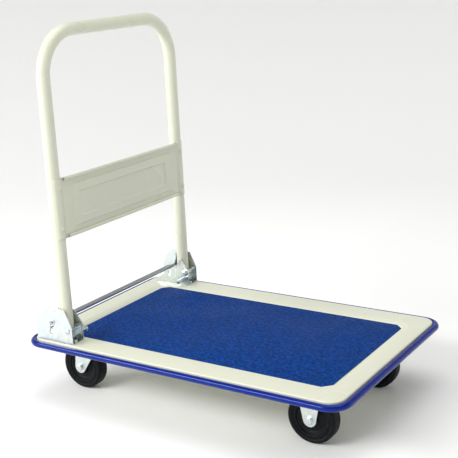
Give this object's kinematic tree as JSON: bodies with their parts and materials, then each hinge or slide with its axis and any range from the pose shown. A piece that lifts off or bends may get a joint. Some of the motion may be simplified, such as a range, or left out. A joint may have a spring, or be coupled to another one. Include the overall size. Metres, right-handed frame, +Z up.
{
  "type": "folding platform cart",
  "caption": "Flat pressed-steel platform on four casters with a rubber mat, edge bumper and a fold-down tube handle released by a cross bar.",
  "frame": {"origin": "on the floor, below the middle of the deck's outline", "axes": "+X to the front of the cart, away from the handle; +Y to its left side; +Z up"},
  "size_m": [0.74, 0.48, 0.7705],
  "materials": {
    "cream_enamel": "semi-gloss stoved enamel",
    "blue_mat": "embossed matt vinyl",
    "blue_vinyl": "glossy soft vinyl",
    "black_rubber": "matt",
    "black_plastic": "moulded, satin",
    "zinc_plate": "bright zinc plating",
    "bright_steel": "drawn steel",
    "hard_steel": "polished balls"
  },
  "bodies": {
    "frame": {"axle_bolt_front_left": "zinc_plate", "axle_bolt_front_right": "zinc_plate", "axle_nut_front_left": "zinc_plate", "axle_nut_front_right": "zinc_plate", "axle_sleeve_front_left": "bright_steel", "axle_sleeve_front_right": "bright_steel", "bracket_bolts": "zinc_plate", "bracket_left": "zinc_plate", "bracket_nuts": "zinc_plate", "bracket_right": "zinc_plate", "bumper_strip": "blue_vinyl", "caster_bolts": "zinc_plate", "caster_washers": "zinc_plate", "cross_plate_front": "cream_enamel", "cross_plate_rear": "cream_enamel", "deck_mat": "blue_mat", "deck_pan": "cream_enamel", "fixed_fork_left": "zinc_plate", "fixed_fork_right": "zinc_plate", "inner_studs": "zinc_plate", "kingpin_left": "zinc_plate", "kingpin_right": "zinc_plate", "pivot_bolts": "zinc_plate", "pivot_nuts": "zinc_plate", "spring_anchor_pins": "zinc_plate", "stiffener_rail_left": "cream_enamel", "stiffener_rail_right": "cream_enamel", "swivel_balls_left": "hard_steel", "swivel_balls_right": "hard_steel", "swivel_plate_left": "zinc_plate", "swivel_plate_right": "zinc_plate"},
    "handle": {"handle_tube": "cream_enamel", "handle_panel": "cream_enamel", "panel_rivets": "zinc_plate", "handle_shoe_left": "zinc_plate", "handle_shoe_right": "zinc_plate"},
    "release_bar": {"release_bar": "bright_steel", "bar_clips": "zinc_plate", "latch_plate_left": "zinc_plate", "latch_plate_right": "zinc_plate", "release_spring_left": "bright_steel", "release_spring_right": "bright_steel"},
    "swivel_left": {"swivel_fork_left": "zinc_plate", "axle_bolt_rear_left": "zinc_plate", "axle_nut_rear_left": "zinc_plate", "axle_sleeve_rear_left": "bright_steel"},
    "wheel_rear_left": {"wheel_core_rear_left": "black_plastic", "tyre_rear_left": "black_rubber"},
    "wheel_front_left": {"wheel_core_front_left": "black_plastic", "tyre_front_left": "black_rubber"},
    "swivel_right": {"swivel_fork_right": "zinc_plate", "axle_bolt_rear_right": "zinc_plate", "axle_nut_rear_right": "zinc_plate", "axle_sleeve_rear_right": "bright_steel"},
    "wheel_rear_right": {"wheel_core_rear_right": "black_plastic", "tyre_rear_right": "black_rubber"},
    "wheel_front_right": {"wheel_core_front_right": "black_plastic", "tyre_front_right": "black_rubber"}
  },
  "joints": [
    {"name": "handle_fold", "type": "hinge", "parent": "frame", "child": "handle", "pos_m": [-0.255, 0, 0.1615], "axis": [0, 1, 0], "range_deg": [0, 90]},
    {"name": "release_bar_press", "type": "slide", "parent": "frame", "child": "release_bar", "axis": [-0.1829, 0, -0.9831], "range_m": [0, 0.0216], "stiffness_N_per_m": 1200, "springref_m": -0.015, "deforming": ["release_spring_left", "release_spring_right"]},
    {"name": "caster_swivel_left", "type": "hinge", "parent": "frame", "child": "swivel_left", "pos_m": [-0.263, 0.137, 0.1], "axis": [0, 0, 1], "continuous": true},
    {"name": "caster_swivel_right", "type": "hinge", "parent": "frame", "child": "swivel_right", "pos_m": [-0.263, -0.137, 0.1], "axis": [0, 0, 1], "continuous": true},
    {"name": "wheel_spin_front_left", "type": "hinge", "parent": "frame", "child": "wheel_front_left", "pos_m": [0.26, 0.137, 0.05], "axis": [0, 1, 0], "continuous": true},
    {"name": "wheel_spin_front_right", "type": "hinge", "parent": "frame", "child": "wheel_front_right", "pos_m": [0.26, -0.137, 0.05], "axis": [0, 1, 0], "continuous": true},
    {"name": "wheel_spin_rear_left", "type": "hinge", "parent": "swivel_left", "child": "wheel_rear_left", "pos_m": [-0.293, 0.137, 0.05], "axis": [0, 1, 0], "continuous": true},
    {"name": "wheel_spin_rear_right", "type": "hinge", "parent": "swivel_right", "child": "wheel_rear_right", "pos_m": [-0.293, -0.137, 0.05], "axis": [0, 1, 0], "continuous": true}
  ]
}
